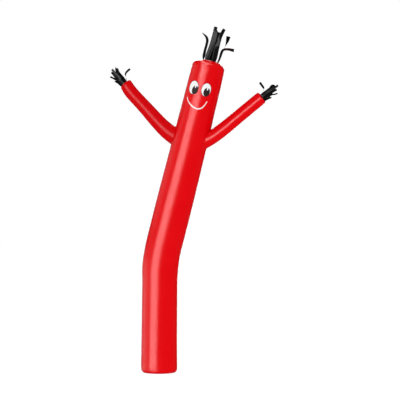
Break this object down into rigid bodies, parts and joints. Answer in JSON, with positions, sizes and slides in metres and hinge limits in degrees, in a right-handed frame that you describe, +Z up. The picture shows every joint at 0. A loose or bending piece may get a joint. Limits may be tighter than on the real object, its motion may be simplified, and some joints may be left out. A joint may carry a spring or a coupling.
{
  "type": "inflatable air dancer",
  "caption": "Inflatable air dancer: a tall bent nylon tube figure with an open base sleeve, raised sleeve arms, a domed head and ribbon streamers on head and hands",
  "frame": {"origin": "centre of the open base sleeve, in the plane of its hem, where a blower's outlet ring goes in", "axes": "+Z up along the figure, the face looks along -Y, the arms lie in the XZ plane and the body leans to +X"},
  "size_m": [1.4986, 0.3144, 2.9607],
  "materials": {
    "nylon_body": "red coated nylon, satin",
    "nylon_head": "red coated nylon, satin",
    "nylon_arm_left": "red coated nylon, satin",
    "nylon_arm_right": "red coated nylon, satin",
    "ribbon_hair": "black coated nylon, satin",
    "ribbon_left_hand": "black coated nylon, satin",
    "ribbon_right_hand": "black coated nylon, satin"
  },
  "bodies": {
    "root": {"body_tube": "nylon_body", "head_panel": "nylon_head", "arm_left": "nylon_arm_left", "arm_right": "nylon_arm_right", "hair_strips": "ribbon_hair", "strips_left_hand": "ribbon_left_hand", "strips_right_hand": "ribbon_right_hand"}
  },
  "joints": []
}
